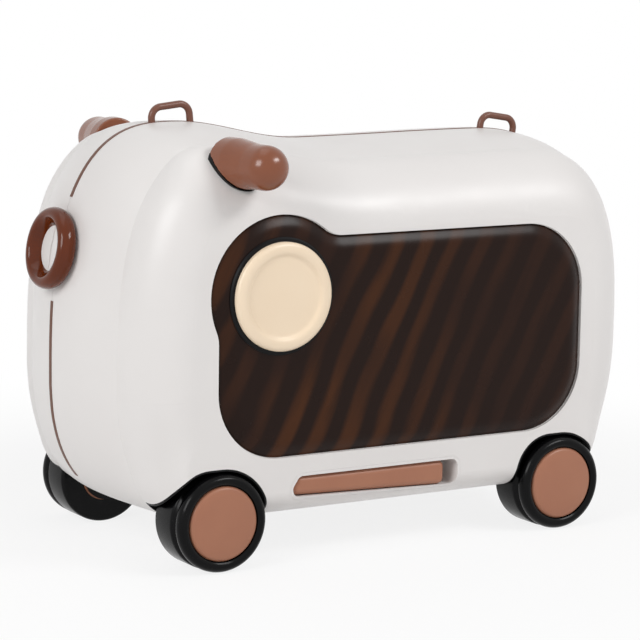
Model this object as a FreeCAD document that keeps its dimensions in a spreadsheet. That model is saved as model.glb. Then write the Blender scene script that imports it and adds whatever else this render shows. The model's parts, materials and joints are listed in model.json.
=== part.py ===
import FreeCAD, Part
import math
import os
import re
import Sketcher

# Ride-on suitcase, in millimetres. +X is forward, +Y the rider's left, +Z up, the floor is z = 0.
# Every size is a cell of the sheet, and every fit between two pieces uses the same cells.

Vector = FreeCAD.Vector
Placement = FreeCAD.Placement
Rotation = FreeCAD.Rotation

doc = FreeCAD.newDocument("ride_on_suitcase")
sheet = doc.addObject("Spreadsheet::Sheet", "dims")

SIZES = {
    # case outline seen from the side
    "body_length": 516,
    "ground_gap": 37,
    "hump_height": 347.5,
    "saddle_height": 330.7,
    "tail_height": 332.7,
    "hump_ahead": 150,
    "saddle_ahead": 31,
    "tail_behind": 140,
    "nose_height": 150,
    "rump_height": 170,
    "sill_ahead": 170,
    "sill_behind": 165,
    "brow_power": 2.7,
    "haunch_power": 2.8,
    "lower_power": 2.45,
    # case section across the width
    "half_width": 121,
    "crown_radius": 140,
    "crown_ease": 0.45,
    "brow_ease_power": 6,
    "haunch_ease_power": 2,
    "band_half_width": 76,
    "side_roll": 43,
    "side_power": 2.05,
    "sill_roll": 22,
    "sill_start": 85,
    "sole_trim": 0.2,
    "rest_step": 0.2,
    "rest_clearance": 6,
    "floor_power": 3,
    "wall": 3,
    "side_wall": 5.5,
    "rim_width": 8,
    "rim_depth": 8,
    "seam_gap": 0.3,
    # strip along the split
    "strip_width": 4,
    "strip_depth": 3.5,
    "strip_proud": 0.4,
    "strip_clearance": 0.8,
    "strip_end_gap": 8.5,
    "strip_low": 62,
    # wheels
    "wheel_radius": 40,
    "wheel_width": 43,
    "wheel_outer": 125,
    "front_wheel_ahead": 167,
    "rear_wheel_behind": 162.5,
    "bead_radius": 6.2,
    "lip_radius": 2,
    "hub_radius": 24,
    "hub_face_radius": 21,
    "hub_face_depth": 5,
    "cap_radius": 30.4,
    "cap_depth": 5.5,
    "cap_dome": 2,
    "cap_edge": 3,
    "cap_clearance": 0.4,
    "axle_radius": 4,
    "running_clearance": 0.05,
    "clip_radius": 8,
    "clip_thickness": 1.5,
    # wheel arches
    "arch_radius": 43.4,
    "arch_ahead": 11.5,
    "arch_ahead_radius": 34,
    "arch_thickness": 1.6,
    "arch_wall": 2.5,
    "arch_gap": 2.1,
    "fit_gap": 0.1,
    "boss_radius": 10,
    "boss_length": 18,
    "axle_plate_radius": 20,
    # side panel
    "panel_ahead": 171,
    "panel_behind": 179.5,
    "panel_low": 88,
    "panel_top": 263.2,
    "panel_corner": 56,
    "panel_recess": 2.5,
    "panel_proud": 3.5,
    "panel_edge": 4.5,
    "panel_gap": 0.5,
    "bulge_radius": 63.8,
    "bulge_ahead": 114.7,
    "bulge_height": 218.5,
    "neck_radius": 28,
    # eye disc
    "eye_ahead": 117.5,
    "eye_height": 218.5,
    "eye_radius": 43.5,
    "eye_dish_radius": 32,
    "eye_dish_depth": 2.2,
    "eye_thickness": 5.5,
    "eye_edge": 3,
    "collar_radius": 47,
    "collar_height": 2,
    "collar_edge": 1.2,
    # grips
    "grip_ahead": 148,
    "grip_side": 108,
    "grip_height": 322.3,
    "grip_sweep": 8,
    "grip_radius": 17.8,
    "grip_base_radius": 20.6,
    "grip_length": 51.3,
    "grip_root": 14,
    "grip_end_round": 17.2,
    "washer_radius": 20.2,
    "washer_thickness": 2.5,
    "bolt_radius": 4,
    "bolt_head_radius": 7,
    "bolt_head_height": 5,
    "bolt_reach": 15,
    "bolt_tilt": 46,
    "grip_boss_radius": 11,
    "grip_boss_depth": 16,
    # footrests
    "slot_ahead_low": 107,
    "slot_ahead_top": 96,
    "slot_behind": 57,
    "slot_low_ahead": 54.5,
    "slot_low_behind": 49.5,
    "slot_top": 71,
    "slot_corner": 6,
    "slot_floor": 94,
    "slot_wall": 2.5,
    "bar_gap": 0.7,
    "bar_rear_gap": 11,
    "bar_inner": 103,
    "bar_outer": 119.5,
    "bar_round": 5,
    "arm_centre": 61.5,
    "arm_width": 10,
    "arm_height": 8,
    "arm_inset": 24,
    "arm_inner": 22,
    "arm_head": 4,
    "arm_head_rim": 2.2,
    "sleeve_length": 20,
    "sleeve_wall": 2.5,
    "slide_clearance": 0.15,
    # strap loops
    "loop_rod": 5.8,
    "loop_span": 35,
    "front_loop_lean": 6,
    "rear_loop_lean": 0,
    "front_loop_rise": 15.8,
    "rear_loop_rise": 14.2,
    "loop_corner": 9,
    "loop_depth": 13,
    "front_loop_ahead": 150,
    "rear_loop_behind": 173,
    "loop_clearance": 0.6,
    "anchor_length": 52,
    # hinge under the case
    "hinge_ahead": 70,
    "hinge_length": 58,
    "hinge_drop": 4,
    "knuckle_radius": 3.5,
    "hinge_pin_radius": 1.75,
    "knuckle_gap": 0.5,
    "leaf_reach": 26,
    "leaf_start": 4.2,
    "leaf_thickness": 2,
    # latches
    "latch_height": 248.4,
    "ring_radius": 33,
    "ring_thickness": 15,
    "ring_lift": 0.8,
    "ring_mouth": 24.5,
    "ring_bore": 18.4,
    "ring_throat": 6.5,
    "ring_edge": 5.5,
    "ring_lip": 2.5,
    "core_height": 5.5,
    "core_groove": 2,
    "tab_radius": 20,
    "tab_clearance": 0.5,
    "spindle_radius": 4,
    "spindle_reach": 25,
    "cam_offset": 20,
    "cam_thickness": 4,
    "cam_width": 10,
    "cam_length": 38,
    "keeper_clearance": 1.5,
    "keeper_start": 27,
    "keeper_width": 20,
    "keeper_height": 10,
    "keeper_depth": 32,
}

for row, (alias, number) in enumerate(SIZES.items(), 1):
    sheet.set(f"A{row}", alias.replace("_", " "))
    sheet.set(f"B{row}", str(number))
    sheet.setAlias(f"B{row}", alias)
doc.recompute()
size = {alias: float(sheet.get(alias)) for alias in SIZES}


def cells(text):
    # turns plain size names into references to the sheet
    return re.sub(r"[a-z][a-z_]*", lambda found: "dims." + found.group(0), text)


def bind(item, **sizes):
    for name, text in sizes.items():
        item.setExpression(name.replace("__", "."), cells(text))


def box(name, corner, extent):
    item = doc.addObject("Part::Box", name)
    bind(item, Length=extent[0], Width=extent[1], Height=extent[2])
    bind(item, Placement__Base__x=corner[0], Placement__Base__y=corner[1], Placement__Base__z=corner[2])
    return item


def cylinder(name, radius, height, placement):
    item = doc.addObject("Part::Cylinder", name)
    bind(item, Radius=radius, Height=height)
    item.Placement = placement
    return item


def fused(name, items):
    item = doc.addObject("Part::MultiFuse", name)
    item.Shapes = items
    return item


def cut(name, base, tool):
    item = doc.addObject("Part::Cut", name)
    item.Base = base
    item.Tool = tool
    return item


def common(name, base, tool):
    item = doc.addObject("Part::Common", name)
    item.Base = base
    item.Tool = tool
    return item


def mirrored(name, source):
    item = doc.addObject("Part::Mirroring", name)
    item.Source = source
    item.Normal = Vector(0, 1, 0)
    return item


def solid(name, shape):
    item = doc.addObject("Part::Feature", name)
    item.Shape = shape
    return item


def group(name, items):
    item = doc.addObject("Part::Compound", name)
    item.Links = items
    return item


def sketch_in(body, role):
    sketch = body.newObject("Sketcher::SketchObject", body.Name + "_sketch")
    planes = [plane for plane in body.Origin.OriginFeatures if plane.Role == role]
    sketch.AttachmentSupport = [(planes[0], "")]
    sketch.MapMode = "FlatFace"
    return sketch


def turned(name, profile, placement, rounds=()):
    # a body turned about its own X axis, from corners given as (along, radius)
    body = doc.addObject("PartDesign::Body", name)
    sketch = sketch_in(body, "XY_Plane")
    count = len(profile)
    for i in range(count):
        start = Vector(10 + 3 * i, 10 + i * i, 0)
        j = (i + 1) % count
        sketch.addGeometry(Part.LineSegment(start, Vector(10 + 3 * j, 10 + j * j, 0)), False)
    for i in range(count):
        sketch.addConstraint(Sketcher.Constraint("Coincident", i, 2, (i + 1) % count, 1))
    for i, corner in enumerate(profile):
        for kind, text, line in zip(("DistanceX", "DistanceY"), corner, (-2, -1)):
            if text == "0":
                sketch.addConstraint(Sketcher.Constraint("PointOnObject", i, 1, line))
            else:
                at = sketch.addConstraint(Sketcher.Constraint(kind, -1, 1, i, 1, 10.0))
                sketch.setExpression(f"Constraints[{at}]", cells(text))
    turn = body.newObject("PartDesign::Revolution", name + "_turn")
    turn.Profile = sketch
    turn.ReferenceAxis = (sketch, ["H_Axis"])
    turn.Angle = 360
    doc.recompute()
    for i, (along, radius, text) in enumerate(rounds):
        base = body.Tip
        names = []
        for k, edge in enumerate(base.Shape.Edges, 1):
            if edge.Curve.TypeId != "Part::GeomCircle":
                continue
            near = abs(edge.Curve.Center.x - along) < 0.01 and abs(edge.Curve.Radius - radius) < 0.01
            if near:
                names.append(f"Edge{k}")
        fillet = body.newObject("PartDesign::Fillet", f"{name}_round{i}")
        fillet.Base = (base, names)
        fillet.setExpression("Radius", cells(text))
        doc.recompute()
    body.Placement = placement
    return body


# Outline of the case in its middle plane

def even_points(fine, count):
    # count points evenly spaced along a fine polyline, its two ends kept
    lengths = [0.0]
    for p, q in zip(fine, fine[1:]):
        lengths.append(lengths[-1] + math.dist(p, q))
    points = []
    k = 0
    for i in range(count):
        target = lengths[-1] * i / (count - 1)
        while k < len(fine) - 2 and lengths[k + 1] < target:
            k += 1
        share = (target - lengths[k]) / (lengths[k + 1] - lengths[k])
        p, q = fine[k], fine[k + 1]
        points.append((p[0] + (q[0] - p[0]) * share, p[1] + (q[1] - p[1]) * share))
    return points


def quarter(centre, reach, power, first):
    # a superellipse quarter as a fine polyline, from the angle first on
    fine = []
    for i in range(401):
        angle = math.radians(first + 90.0 * i / 400)
        across = math.cos(angle)
        upward = math.sin(angle)
        x = centre[0] + math.copysign(abs(across) ** (2 / power), across) * reach[0]
        z = centre[1] + math.copysign(abs(upward) ** (2 / power), upward) * reach[1]
        fine.append((x, z))
    return fine


def back_line():
    # top line from the hump back to the tail: two smooth ramps that meet in the saddle
    start = size["hump_ahead"]
    end = -size["tail_behind"]
    fine = []
    for i in range(401):
        x = start + (end - start) * i / 400
        if x > size["saddle_ahead"]:
            share = (x - size["saddle_ahead"]) / (start - size["saddle_ahead"])
            rise = size["hump_height"] - size["saddle_height"]
        else:
            share = (size["saddle_ahead"] - x) / (size["saddle_ahead"] - end)
            rise = size["tail_height"] - size["saddle_height"]
        fine.append((x, size["saddle_height"] + rise * (1 - math.cos(math.pi * share)) / 2))
    return fine


def with_normals(points, first, last):
    # each point (x, z) with its outward normal, the two end normals given
    shaped = []
    for i, (x, z) in enumerate(points):
        if i == 0:
            normal = first
        elif i == len(points) - 1:
            normal = last
        else:
            p, q = points[i - 1], points[i + 1]
            long = math.dist(p, q)
            normal = ((q[1] - p[1]) / long, (p[0] - q[0]) / long)
        shaped.append((x, z) + normal)
    return shaped


def outline():
    # the outline in six stretches that meet with a common tangent, from the nose over the back
    half = size["body_length"] / 2
    nose, rump, floor = size["nose_height"], size["rump_height"], size["ground_gap"]
    lower = size["lower_power"]
    front, tail = size["hump_ahead"], -size["tail_behind"]
    sill_front, sill_rear = size["sill_ahead"], -size["sill_behind"]
    ahead, above, behind, below = (1, 0), (0, 1), (-1, 0), (0, -1)
    brow = quarter((front, nose), (half - front, size["hump_height"] - nose), size["brow_power"], 0)
    haunch = quarter((tail, rump), (half + tail, size["tail_height"] - rump), size["haunch_power"], 90)
    heel = quarter((sill_rear, rump), (half + sill_rear, rump - floor), lower, 180)
    chin = quarter((sill_front, nose), (half - sill_front, nose - floor), lower, 270)
    return [
        with_normals(even_points(brow, 14), ahead, above),
        with_normals(even_points(back_line(), 14), above, above),
        with_normals(even_points(haunch, 14), above, behind),
        with_normals(even_points(heel, 12), behind, below),
        with_normals([(sill_rear, floor), (sill_front, floor)], below, below),
        with_normals(even_points(chin, 12), below, ahead),
    ]


stretches = outline()


def ring_wire(y, roll, sill, ease=0.0):
    # the outline at the distance y from the middle, drawn in by roll, by sill on its underside,
    # and by ease less on its top
    edges = []
    for stretch in stretches:
        points = []
        for x, z, nx, nz in stretch:
            floor_share = max(0.0, -nz) ** size["floor_power"]
            ease_power = size["brow_ease_power"] if nx > 0 else size["haunch_ease_power"]
            inset = roll * (1 - floor_share) + sill * floor_share - ease * max(0.0, nz) ** ease_power
            points.append(Vector(x - nx * inset, y, z - nz * inset))
        if len(points) == 2:
            edges.append(Part.LineSegment(points[0], points[1]).toShape())
            continue
        first, last = stretch[0], stretch[-1]
        curve = Part.BSplineCurve()
        curve.interpolate(
            Points=points,
            InitialTangent=Vector(-first[3], 0, first[2]),
            FinalTangent=Vector(-last[3], 0, last[2]),
        )
        edges.append(curve.toShape())
    return Part.Wire(edges)


def sill_inset(y):
    # how far the underside is drawn up at the distance y from the middle
    share = (y - size["sill_start"]) / (size["half_width"] - size["sill_start"])
    share = min(max(share, 0.0), 1.0)
    return size["sill_roll"] * (1 - math.sqrt(1 - share * share))


def crown_lift(y):
    # how much less the top is drawn in than the ends are, at the distance y from the middle
    band = size["band_half_width"]
    share = max(0.0, (y - band) / (size["half_width"] - band))
    drop = min(y, band) ** 2 / (2 * size["crown_radius"])
    return size["crown_ease"] * drop * (1 + math.cos(math.pi * share)) / 2


def middle_rows(start):
    # section of the middle band, a shallow crown: (distance from the middle, inset)
    rows = []
    for step in range(5):
        y = start + (size["band_half_width"] - start) * step / 4
        rows.append((y, y * y / (2 * size["crown_radius"])))
    return rows


def side_rows():
    # section of the rounded side, from the crease out to the flat face
    band = size["band_half_width"]
    edge = band * band / (2 * size["crown_radius"])
    rows = []
    for step in range(9):
        angle = math.pi / 2 * step / 8
        reach = math.sin(angle) ** (2 / size["side_power"])
        drop = 1 - max(math.cos(angle), 0.0) ** (2 / size["side_power"])
        rows.append((band + (size["half_width"] - band) * reach, edge + size["side_roll"] * drop))
    return rows


def case_form(offset, start, end):
    # the half case drawn in by offset, from y = start to y = end, in two lofts that meet at the crease
    halves = []
    for rows in (middle_rows(start), side_rows()):
        wires = []
        for y, roll in rows:
            place = start + (y - start) * (end - start) / (size["half_width"] - start)
            wires.append(ring_wire(place, roll + offset, sill_inset(y) + offset, crown_lift(y)))
        halves.append(Part.makeLoft(wires, True, False, False, 3))
    return halves[0].fuse(halves[1])


def band_form(outer, inner, start, end):
    # a band along the outline between two insets, from y = start to y = end
    face = Part.Face(ring_wire(start, outer, outer))
    hole = Part.Face(ring_wire(start, inner, inner))
    return face.cut(hole).extrude(Vector(0, end - start, 0))


def plate_form(inset, start, end):
    return Part.Face(ring_wire(start, inset, inset)).extrude(Vector(0, end - start, 0))


def slot_form(grow, shorter, start, end):
    # the footrest slot, slanted at its front and lower at its rear, grown on all sides, from y = start to end
    rear = shorter - size["slot_behind"]
    corners = [
        Vector(size["slot_ahead_top"], start, size["slot_top"]),
        Vector(size["slot_ahead_low"], start, size["slot_low_ahead"]),
        Vector(rear, start, size["slot_low_behind"]),
        Vector(rear, start, size["slot_top"]),
    ]
    outline_wire = Part.makePolygon(corners + corners[:1])
    if grow:
        outline_wire = outline_wire.makeOffset2D(grow, 2)
    block = Part.Face(outline_wire).extrude(Vector(0, end - start, 0))
    rims = [edge for edge in block.Edges if edge.BoundBox.YLength > 0.9 * (end - start)]
    return block.makeFillet(size["slot_corner"] + grow, rims)


def mixed(rows, key, value):
    # the outline point and normal where the number at key reaches value
    for p, q in zip(rows, rows[1:]):
        if (p[key] - value) * (q[key] - value) <= 0:
            share = (value - p[key]) / (q[key] - p[key])
            x, z, nx, nz = [a + (b - a) * share for a, b in zip(p, q)]
            return Vector(x, 0, z), Vector(nx, 0, nz).normalize()


# Half shell, drawn on the left side and mirrored for the right

half_width = size["half_width"]
outer_shape = case_form(0.0, 0.0, half_width)
inner_shape = case_form(size["wall"], size["rim_width"], half_width - size["side_wall"])
grown_shape = case_form(-size["washer_thickness"], 0.0, half_width + size["washer_thickness"])
rim_shape = plate_form(size["rim_depth"], -1.0, size["rim_width"] + 0.05)
outer_form = solid("outer_form", outer_shape)
inner_form = solid("inner_form", inner_shape)
grown_form = solid("grown_form", grown_shape)

sweep = math.radians(size["grip_sweep"])
grip_axis = Vector(-math.sin(sweep), math.cos(sweep), 0)
grip_base = Vector(size["grip_ahead"], size["grip_side"], size["grip_height"])


def along_grip(distance):
    # a placement whose Z axis is the grip axis, at this distance from the shell surface
    return Placement(grip_base + grip_axis * distance, Rotation(Vector(0, 0, 1), grip_axis))


def along_bolt(distance):
    # the grip bolt stands square to the rounded shoulder, so its head has room inside
    tilt = math.radians(size["bolt_tilt"])
    axis = Vector(0, math.cos(tilt), math.sin(tilt))
    return Placement(grip_base + axis * distance, Rotation(Vector(0, 0, 1), axis))


bolt_start = -size["grip_boss_depth"]
grip_boss = cylinder("grip_boss", "grip_boss_radius", "grip_boss_depth * 2", along_bolt(bolt_start))
doc.recompute()
hollow = outer_shape.cut(inner_shape.fuse(rim_shape))
side_blank = solid("side_blank", hollow.fuse(grip_boss.Shape.common(outer_shape)).removeSplitter())

Y_AXIS = Rotation(Vector(1, 0, 0), -90)
wheel_inner = size["wheel_outer"] - size["wheel_width"]
arch_back = wheel_inner - size["arch_gap"] - size["arch_wall"]
wheel_spots = {"front": size["front_wheel_ahead"], "rear": -size["rear_wheel_behind"]}


def at_wheel(end, y):
    return Placement(Vector(wheel_spots[end], y, size["wheel_radius"]), Y_AXIS)


def arch_room(name, end, shrink, start):
    # the wheel well from y = start outwards: round about the axle, with a smaller round ahead of it
    x, z = wheel_spots[end], size["wheel_radius"]
    rise = size["arch_radius"] - size["arch_ahead_radius"]
    ahead = Placement(Vector(x + size["arch_ahead"], start, z + rise), Y_AXIS)
    return fused(
        name,
        [
            cylinder(name + "_round", f"arch_radius - {shrink}", "half_width", at_wheel(end, start)),
            cylinder(name + "_ahead", f"arch_ahead_radius - {shrink}", "half_width", ahead),
            box(
                name + "_between",
                (f"{x}", f"{start}", "wheel_radius"),
                ("arch_ahead", "half_width", f"arch_radius - {shrink}"),
            ),
        ],
    )


cutters = [
    # the underside is planed flat under the hinge leaves, and a step higher beside them, where it can rest
    box(
        "sole_slab",
        ("-body_length", "-half_width", "0"),
        ("body_length * 2", "half_width * 3", "ground_gap + sole_trim"),
    ),
    box(
        "rest_slab",
        ("-body_length", "leaf_reach + rest_clearance", "0"),
        ("body_length * 2", "half_width * 2", "ground_gap + sole_trim + rest_step"),
    ),
]
for end in wheel_spots:
    cutters.append(arch_room(end + "_arch_hole", end, "0", arch_back))
    boss_start = arch_back - size["boss_length"] - size["fit_gap"]
    boss_place = at_wheel(end, boss_start)
    cutters.append(cylinder(end + "_boss_hole", "boss_radius + fit_gap", "boss_length + 2", boss_place))
slot_back = size["slot_floor"] - size["slot_wall"]
slot_front = slot_back + half_width
slot_grow = size["slot_wall"] + size["fit_gap"]
cutters.append(solid("slot_hole", slot_form(slot_grow, 0.0, slot_back, slot_front)))
cutters.append(cylinder("grip_hole", "bolt_radius + fit_gap", "grip_boss_depth * 3", along_bolt(bolt_start - 1)))


# Side panel outline: a rounded plate with a round bulge about the eye and two soft necks

def panel_edges(grow):
    front = size["panel_ahead"] + grow
    rear = -size["panel_behind"] - grow
    low = size["panel_low"] - grow
    top = size["panel_top"] + grow
    corner = size["panel_corner"] + grow
    bulge = size["bulge_radius"] + grow
    neck = size["neck_radius"] - grow
    eye = Vector(size["bulge_ahead"], size["bulge_height"], 0)
    reach = bulge + neck
    top_neck = Vector(eye.x - math.sqrt(reach ** 2 - (top + neck - eye.y) ** 2), top + neck, 0)
    front_neck = Vector(front + neck, eye.y - math.sqrt(reach ** 2 - (front + neck - eye.x) ** 2), 0)

    def toward(start, end, distance):
        return start + (end - start).normalize() * distance

    top_touch = toward(eye, top_neck, bulge)
    front_touch = toward(eye, front_neck, bulge)
    top_low = top_neck - Vector(0, neck, 0)
    front_low = front_neck - Vector(neck, 0, 0)
    top_mid = toward(top_neck, (top_touch + top_low) * 0.5, neck)
    front_mid = toward(front_neck, (front_touch + front_low) * 0.5, neck)
    far = eye + Vector(bulge, bulge, 0).normalize() * bulge

    def rounded(x, y, first, last):
        # the arc in the corner (x, y), between the sides that lie in the directions first and last
        inward = (first + last) * corner * (1 - math.sqrt(0.5))
        spot = Vector(x, y, 0)
        return spot + first * corner, spot + inward, spot + last * corner

    ahead, behind = Vector(1, 0, 0), Vector(-1, 0, 0)
    above, below = Vector(0, 1, 0), Vector(0, -1, 0)
    corners = {
        "top": rounded(rear, top, ahead, below),
        "low": rounded(rear, low, above, ahead),
        "nose": rounded(front, low, behind, above),
    }
    return [
        Part.LineSegment(top_low, corners["top"][0]),
        Part.Arc(*corners["top"]),
        Part.LineSegment(corners["top"][2], corners["low"][0]),
        Part.Arc(*corners["low"]),
        Part.LineSegment(corners["low"][2], corners["nose"][0]),
        Part.Arc(*corners["nose"]),
        Part.LineSegment(corners["nose"][2], front_low),
        Part.Arc(front_low, front_mid, front_touch),
        Part.Arc(front_touch, far, top_touch),
        Part.Arc(top_touch, top_mid, top_low),
    ]


def panel_body(name, grow, start, thickness):
    body = doc.addObject("PartDesign::Body", name)
    sketch = sketch_in(body, "XZ_Plane")
    sketch.addGeometry(panel_edges(grow), False)
    pad = body.newObject("PartDesign::Pad", name + "_pad")
    pad.Profile = sketch
    pad.Reversed = True
    pad.setExpression("Length", cells(thickness))
    body.setExpression("Placement.Base.y", cells(start))
    doc.recompute()
    return body


recess_tool = panel_body("recess_tool", size["panel_gap"], "half_width - panel_recess", "panel_recess * 2")
cutters.append(recess_tool)
left_panel = panel_body("left_panel", 0.0, "half_width - panel_recess", "panel_recess + panel_proud")
pad = left_panel.Tip
face_y = size["panel_recess"] + size["panel_proud"]
face_edges = []
for number, edge in enumerate(pad.Shape.Edges, 1):
    if abs(edge.BoundBox.YMin - face_y) < 0.01 and abs(edge.BoundBox.YMax - face_y) < 0.01:
        face_edges.append(f"Edge{number}")
panel_round = left_panel.newObject("PartDesign::Fillet", "left_panel_round")
panel_round.Base = (pad, face_edges)
panel_round.setExpression("Radius", cells("panel_edge"))

side_shell = cut("side_shell", side_blank, fused("side_cutters", cutters))
side_mirror = mirrored("side_mirror", side_shell)
inner_mirror = mirrored("inner_mirror", inner_form)
doc.recompute()


# Latch places on the nose and the tail, with the axis square to the surface

latches = {}
for end in ("front", "rear"):
    latches[end] = mixed(stretches[0 if end == "front" else 2], 1, size["latch_height"])


def along_latch(end, distance):
    # a placement whose Z axis points out of the case along the latch axis
    point, normal = latches[end]
    return Placement(point + normal * distance, Rotation(Vector(0, 0, 1), normal))


# Strap loop places on the top line, the rear loop square to the surface, the front one leaning ahead

loops = {}
for end, x in (("front", size["front_loop_ahead"]), ("rear", -size["rear_loop_behind"])):
    point, normal = mixed(stretches[0] + stretches[1] + stretches[2], 0, x)
    lean = Rotation(Vector(0, 1, 0), size[end + "_loop_lean"])
    loops[end] = Placement(point, lean * Rotation(Vector(0, 0, 1), normal))


def loop_leg(name, end, side, radius):
    offset = Vector(side * size["loop_span"] / 2, 0, -size["loop_depth"] - 1)
    place = loops[end].multiply(Placement(offset, Rotation()))
    return cylinder(name, radius, f"loop_depth + {end}_loop_rise", place)


# Strip along the split, in three stretches

strip_half = size["strip_width"] / 2
strip_zones = {
    "top": ("latch_height + ring_radius + strip_end_gap", "hump_height", "-body_length / 2", "body_length"),
    "front": ("strip_low", "latch_height - ring_radius - strip_end_gap - strip_low", "0", "body_length"),
    "rear": ("strip_low", "latch_height - ring_radius - strip_end_gap - strip_low", "-body_length", "body_length"),
}


def strip_piece(name, zone, outer, inner, start, end):
    low, tall, back, long = strip_zones[zone]
    window = box(name + "_window", (back, "-half_width", low), (long, "half_width * 2", tall))
    return common(name, solid(name + "_band", band_form(outer, inner, start, end)), window)


left_seam = []
right_seam = []
strips = {}
leg_holes = []
leg_notches = []
for end in loops:
    for side, word in ((-1, "back"), (1, "fore")):
        leg_holes.append(loop_leg(f"{end}_{word}_leg_hole", end, side, "loop_rod / 2 + fit_gap"))
        leg_notches.append(loop_leg(f"{end}_{word}_leg_notch", end, side, "loop_rod / 2 + loop_clearance"))
leg_tool = fused("leg_tool", leg_holes)
for zone in strip_zones:
    depth = size["strip_depth"]
    gap = size["strip_clearance"]
    left_seam.append(strip_piece(f"{zone}_left_groove", zone, -2.0, depth, 0.0, strip_half))
    right_seam.append(strip_piece(f"{zone}_right_groove", zone, -2.0, depth + gap, -strip_half - gap, 0.5))
    piece = strip_piece(f"{zone}_strip_blank", zone, -size["strip_proud"], depth, -strip_half, strip_half)
    strips[zone] = cut("top_strip", piece, leg_tool) if zone == "top" else piece
    strips[zone].Label = f"{zone}_strip"

tabs = []
for end in latches:
    reach = -size["spindle_reach"]
    tab_tool = cylinder(end + "_tab_tool", "tab_radius", "spindle_reach * 2", along_latch(end, reach))
    tabs.append(common(end + "_tab", side_mirror, tab_tool))
    notch = cylinder(end + "_notch", "tab_radius + tab_clearance", "spindle_reach * 2", along_latch(end, reach))
    right_seam.append(notch)
    bore = cylinder(
        end + "_spindle_bore", "spindle_radius + running_clearance", "spindle_reach * 2", along_latch(end, reach)
    )
    left_seam.append(bore)
left_seam.append(leg_tool)
right_seam += leg_notches
seam_slab = box("seam_slab", ("-body_length", "-seam_gap", "0"), ("body_length * 2", "1", "hump_height * 2"))
right_seam.append(seam_slab)
left_shell = cut("left_shell", fused("left_tabbed", [side_shell] + tabs), fused("left_seam_tool", left_seam))
right_shell = cut("right_shell", side_mirror, fused("right_seam_tool", right_seam))
doc.recompute()


# Wheels, arch liners and axles

pieces = [left_shell, right_shell, left_panel]
clips = []
cap_seat = "wheel_width - cap_depth"
for end in wheel_spots:
    plate = cylinder(end + "_axle_plate", "axle_plate_radius", "arch_wall", at_wheel(end, arch_back))
    boss = cylinder(
        end + "_axle_boss", "boss_radius", "boss_length + 0.5", at_wheel(end, arch_back - size["boss_length"])
    )
    drum = arch_room(end + "_arch_drum", end, "fit_gap", arch_back)
    hollow_start = arch_back + size["arch_wall"]
    room = arch_room(end + "_arch_hollow", end, "arch_thickness", hollow_start)
    cup = common(end + "_arch_cup", cut(end + "_arch_raw", drum, room), outer_form)
    axle_start = arch_back - size["boss_length"]
    bore = cylinder(end + "_axle_bore", "axle_radius", "half_width", at_wheel(end, axle_start - 1))
    liner = cut(f"left_{end}_arch", fused(end + "_arch_body", [cup, plate, boss]), bore)
    axle = cylinder(
        f"left_{end}_axle",
        "axle_radius",
        "boss_length + arch_wall + arch_gap + wheel_width - cap_depth - 1",
        at_wheel(end, axle_start),
    )
    clip = cylinder(
        f"{end}_clip_disc",
        "clip_radius",
        "clip_thickness",
        at_wheel(end, size["wheel_outer"] - size["cap_depth"] - 1.5 - size["clip_thickness"]),
    )
    clip_ring = cut(f"{end}_clip", clip, bore)
    wheel_place = Placement(
        Vector(wheel_spots[end], wheel_inner, size["wheel_radius"]), Rotation(Vector(0, 0, 1), 90)
    )
    tyre = turned(
        f"left_{end}_tyre",
        [
            ("0", "hub_face_radius"),
            ("hub_face_depth", "hub_face_radius"),
            ("hub_face_depth", "hub_radius"),
            (cap_seat, "hub_radius"),
            (cap_seat, "cap_radius + cap_clearance"),
            ("wheel_width", "cap_radius + cap_clearance"),
            ("wheel_width", "wheel_radius - 0.8"),
            ("wheel_width - bead_radius - 1", "wheel_radius - 0.8"),
            ("wheel_width - bead_radius - 2", "wheel_radius - 1.6"),
            ("wheel_width - bead_radius - 3", "wheel_radius"),
            ("0", "wheel_radius"),
        ],
        wheel_place,
        [
            (size["wheel_width"], size["wheel_radius"] - 0.8, "bead_radius"),
            (size["wheel_width"], size["cap_radius"] + size["cap_clearance"], "lip_radius"),
            (0.0, size["wheel_radius"], "bead_radius / 2"),
        ],
    )
    hub = turned(
        f"left_{end}_hub",
        [
            ("0", "axle_radius + running_clearance"),
            (cap_seat + " - 4", "axle_radius + running_clearance"),
            (cap_seat + " - 4", "clip_radius + 1"),
            (cap_seat, "clip_radius + 1"),
            (cap_seat, "hub_radius"),
            ("hub_face_depth", "hub_radius"),
            ("hub_face_depth", "hub_face_radius"),
            ("0", "hub_face_radius"),
        ],
        wheel_place,
    )
    cap = turned(
        f"left_{end}_hub_cap",
        [
            (cap_seat, "0"),
            (cap_seat, "cap_radius"),
            ("wheel_width - 1", "cap_radius"),
            ("wheel_width - 1 + cap_dome * 0.75", "cap_radius / 2"),
            ("wheel_width - 1 + cap_dome", "0"),
        ],
        wheel_place,
        [(size["wheel_width"] - 1, size["cap_radius"], "cap_edge")],
    )
    pieces += [liner, axle, tyre, hub, cap]
    clips.append(clip_ring)
pieces.append(group("left_axle_clips", clips))


# Eye disc on its collar, and grip with washer and bolt

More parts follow.
